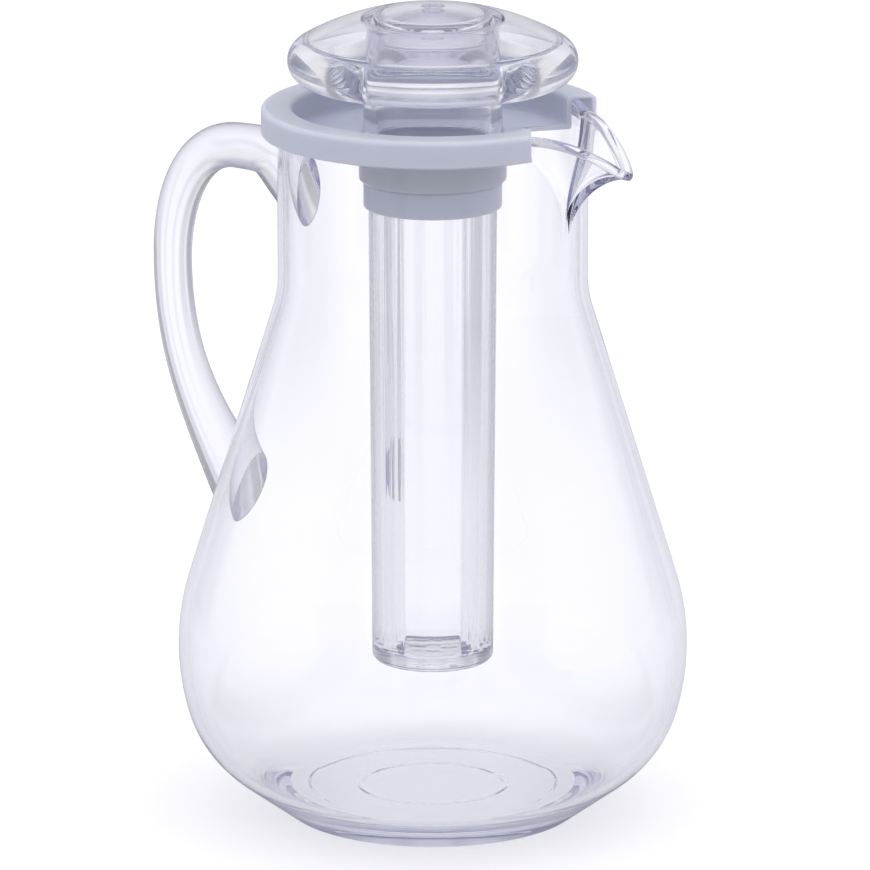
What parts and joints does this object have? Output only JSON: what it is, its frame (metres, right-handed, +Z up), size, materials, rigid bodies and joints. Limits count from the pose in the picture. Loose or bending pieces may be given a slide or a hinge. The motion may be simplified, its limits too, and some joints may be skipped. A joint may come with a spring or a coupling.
{
  "type": "pitcher with ice core",
  "caption": "Clear pear-shaped pitcher with a pinched pouring spout, a rod handle, a white ring lid, a hanging tube for ice and a broad clear cap.",
  "frame": {"origin": "centre of the foot, on the surface that the pitcher stands on", "axes": "+Z up along the pitcher's axis, +X towards the spout, the handle at -X"},
  "size_m": [0.1942, 0.1714, 0.2756],
  "materials": {
    "clear_body": "clear moulded plastic, polished, faint blue cast",
    "clear_rod": "clear solid rod, polished",
    "clear_tube": "clear moulded plastic, polished inside and out",
    "clear_cap": "clear thick moulded plastic, polished",
    "white_satin": "opaque cool white, satin gloss"
  },
  "bodies": {
    "pitcher": {"pitcher_body": "clear_body", "handle": "clear_rod"},
    "lid": {"lid": "white_satin"},
    "ice_core": {"ice_tube": "clear_tube", "tube_sleeve": "white_satin"},
    "cap": {"cap": "clear_cap"}
  },
  "joints": [
    {"name": "lid_lift", "type": "slide", "parent": "pitcher", "child": "lid", "axis": [0, 0, 1], "range_m": [0, 0.2]},
    {"name": "core_release", "type": "slide", "parent": "lid", "child": "ice_core", "axis": [0, 0, -1], "range_m": [0, 0.03]},
    {"name": "cap_pull", "type": "slide", "parent": "lid", "child": "cap", "axis": [0, 0, 1], "range_m": [0, 0.05]}
  ]
}
